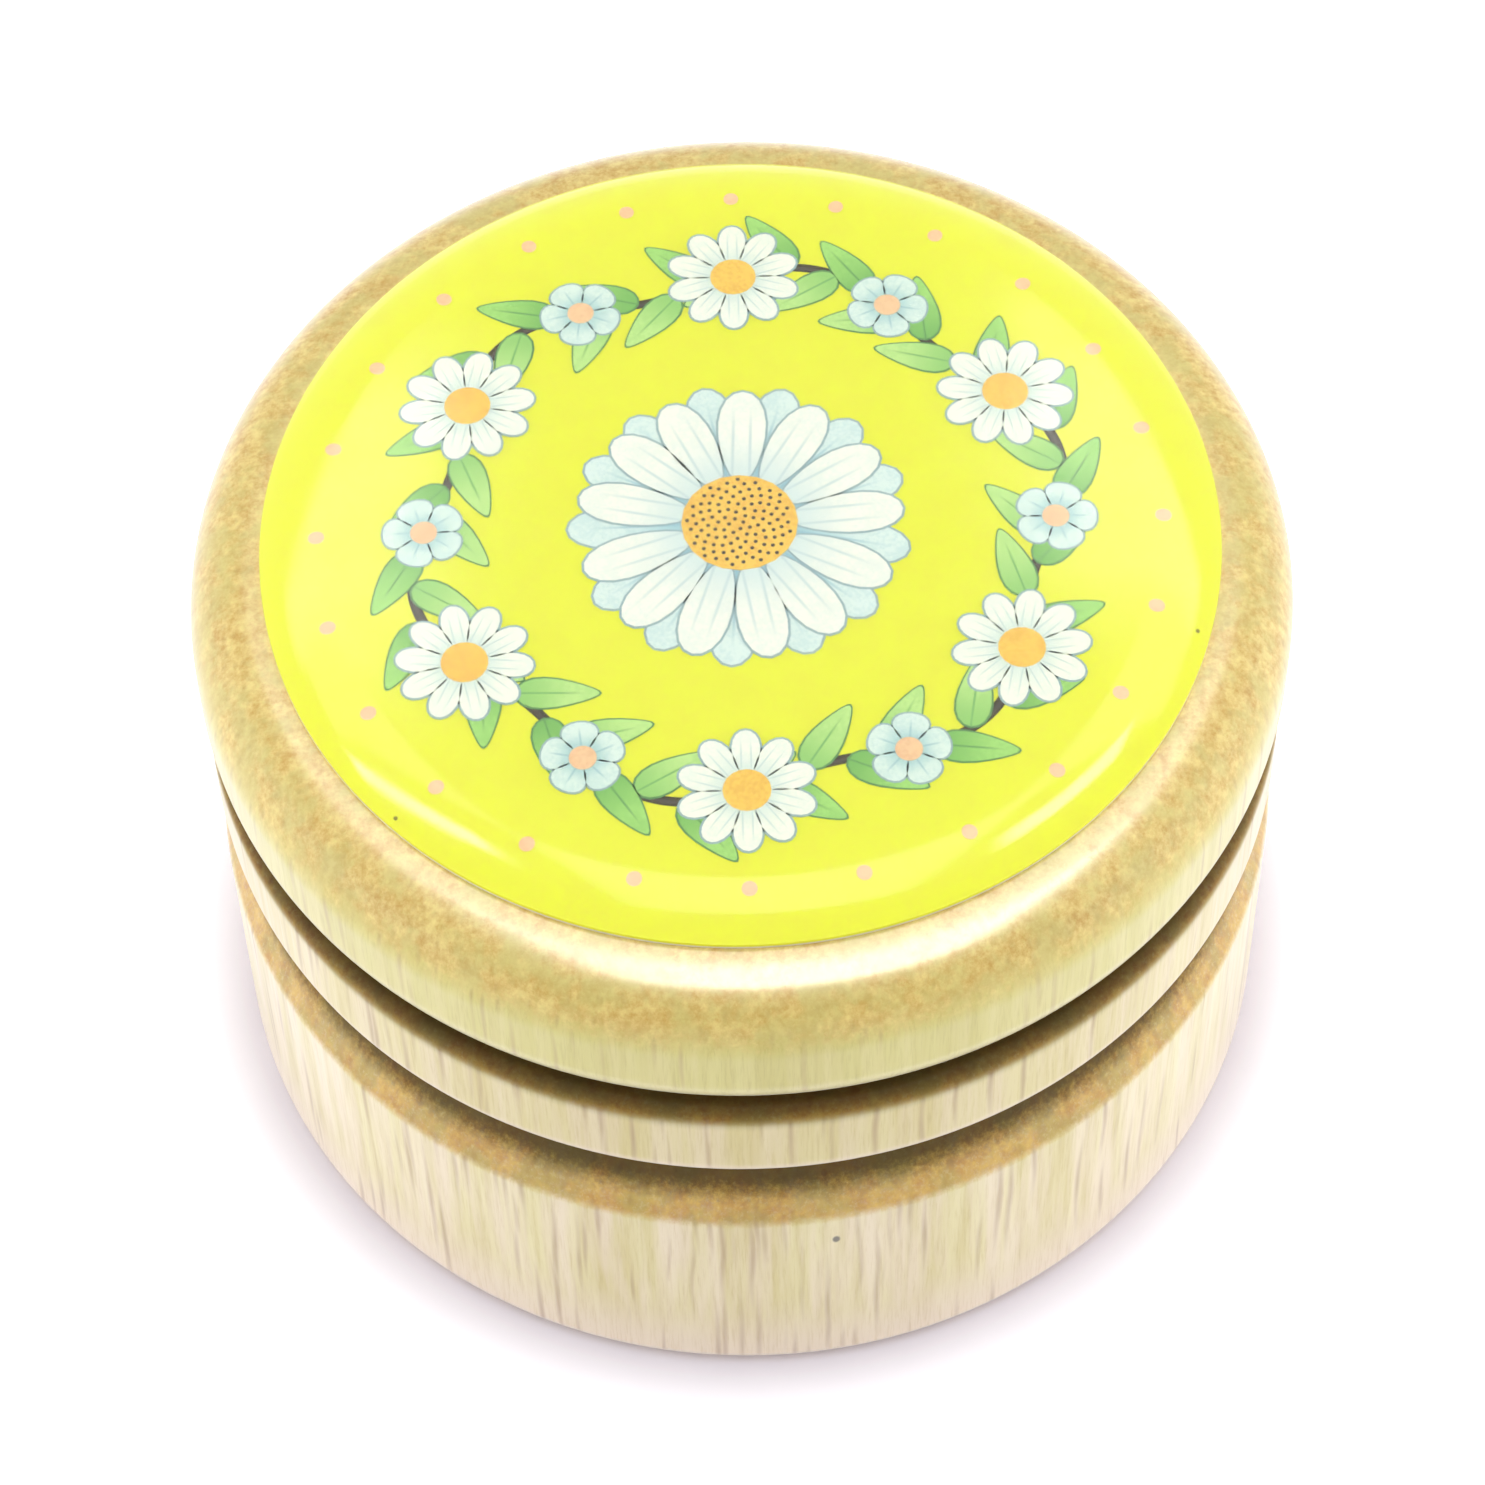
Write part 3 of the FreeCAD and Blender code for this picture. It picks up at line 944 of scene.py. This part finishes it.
def floorMaterial():
    material, tree, shader, output = newMaterial("paleTable")
    coords = addNode(tree, "ShaderNodeTexCoord").outputs["Object"]
    cloud = noise(tree, coords, floor["clouds"], 2.0)[0]
    tree.links.new(mixColour(tree, cloud, floor["colour"], floor["cloud"]), shader.inputs["Base Color"])
    shader.inputs["Roughness"].default_value = floor["roughness"]
    shader.inputs["Specular IOR Level"].default_value = 0.0
    low, high = floor["glowEnds"]
    far = spread(tree, length(tree, coords), low * mm, high * mm, 0.0, floor["glow"])
    glow = addNode(tree, "ShaderNodeEmission", {
        "Color": (1, 1, 1, 1), "Strength": times(tree, seenDirectly(tree), far)})
    both = addNode(tree, "ShaderNodeAddShader", {0: shader.outputs[0], 1: glow.outputs[0]})
    tree.links.new(both.outputs[0], output.inputs["Surface"])
    return material


floorMesh = bpy.data.meshes.new("table")
half = floor["half"]
floorCorners = [(-half, -half, 0), (half, -half, 0), (half, half, 0), (-half, half, 0)]
floorMesh.from_pydata(floorCorners, [], [(0, 1, 2, 3)])
floorMesh.materials.append(floorMaterial())
table = bpy.data.objects.new("table", floorMesh)
scene.collection.objects.link(table)

# soft panels in a low ceiling, in metres, all facing down; glare 1 is as bright as white paper
panelHeight = 0.53
panels = dict(
    overhead=dict(at=(0.03, -0.06), size=(0.34, 0.30), glare=2.4),
    crownGloss=dict(at=(0.06, -0.12), size=(0.44, 0.36), glare=20.0, glossOn=boxLid),
    innerGloss=dict(at=(0.02, 0.17), size=(0.62, 0.30), glare=5.5, glossOn=boxLid),
    streakLeft=dict(at=(-0.47, -0.025), size=(0.42, 0.08), turn=-8.0, glare=11.0, glossOn=labelDome),
    streakRight=dict(at=(0.39, -0.02), size=(0.26, 0.11), turn=36.0, glare=10.0, glossOn=labelDome),
    sheenLeft=dict(at=(-0.45, 0.38), size=(0.70, 0.18), glare=3.3, glossOn=labelDome),
    sheenRight=dict(at=(0.50, 0.41), size=(0.80, 0.18), glare=3.3, glossOn=labelDome),
    lowSheenLeft=dict(at=(-0.40, 0.20), size=(0.50, 0.20), glare=1.7, glossOn=labelDome),
    lowSheenRight=dict(at=(0.50, 0.20), size=(0.66, 0.24), glare=1.7, glossOn=labelDome),
)
for name, panel in panels.items():
    lamp = bpy.data.lights.new(name, "AREA")
    lamp.shape = "RECTANGLE"
    lamp.size, lamp.size_y = panel["size"]
    lamp.energy = math.pi * lamp.size * lamp.size_y * panel["glare"]
    holder = bpy.data.objects.new(name, lamp)
    holder.location = (*panel["at"], panelHeight)
    holder.rotation_euler = (0, 0, math.radians(panel.get("turn", 0.0)))
    scene.collection.objects.link(holder)
    if "glossOn" in panel:  # shows as a highlight in this piece only, and lights nothing
        holder.visible_diffuse = False
        holder.visible_transmission = False
        takers = bpy.data.collections.new(name + "Takers")
        takers.objects.link(panel["glossOn"])
        holder.light_linking.receiver_collection = takers

# low soft light from left and right, less of it in front, over an even fill that is stronger behind
sky = dict(colour=(1.0, 0.995, 1.0, 1), sides=(0.50, 0.95, 0.0, 6.0), low=(0.05, 0.45, 1.0, 0.12),
           front=(-0.9, -0.4, 0.4, 1.0), fill=(-0.3, 0.8, 0.3, 0.6))
world = bpy.data.worlds.new("studio")
scene.world = world
world.use_nodes = True
skyTree = world.node_tree
background = skyTree.nodes["Background"]
x, y, z = split(skyTree, addNode(skyTree, "ShaderNodeTexCoord").outputs["Generated"])
sides = spread(skyTree, calc(skyTree, "ABSOLUTE", x), *sky["sides"])
sides = times(skyTree, sides, spread(skyTree, z, *sky["low"]), spread(skyTree, y, *sky["front"]))
light = plus(skyTree, sides, spread(skyTree, y, *sky["fill"]))
strength = addNode(skyTree, "ShaderNodeMix", {0: seenDirectly(skyTree), 2: light, 3: 1.0}, data_type="FLOAT")
skyTree.links.new(strength.outputs[0], background.inputs["Strength"])
background.inputs["Color"].default_value = sky["colour"]

photoView = dict(elevation=55.16, distance=0.20492, aimHeight=0.02259, lens=119.83, sensor=36.0, roll=-1.565,
                 shift=-0.0777, nearest=0.01)
lens = bpy.data.cameras.new("photoView")
lens.sensor_width = photoView["sensor"]
lens.lens = photoView["lens"]
lens.shift_y = photoView["shift"]
lens.clip_start = photoView["nearest"]
camera = bpy.data.objects.new("photoView", lens)
rise = math.radians(photoView["elevation"])
away = photoView["distance"] * math.cos(rise)
above = photoView["distance"] * math.sin(rise)
camera.location = (0, -away, photoView["aimHeight"] + above)
camera.rotation_mode = "ZYX"
camera.rotation_euler = (math.pi / 2 - rise, 0, math.radians(photoView["roll"]))
scene.collection.objects.link(camera)
scene.camera = camera
scene.view_settings.view_transform = "Standard"
print("stage lit, camera set")
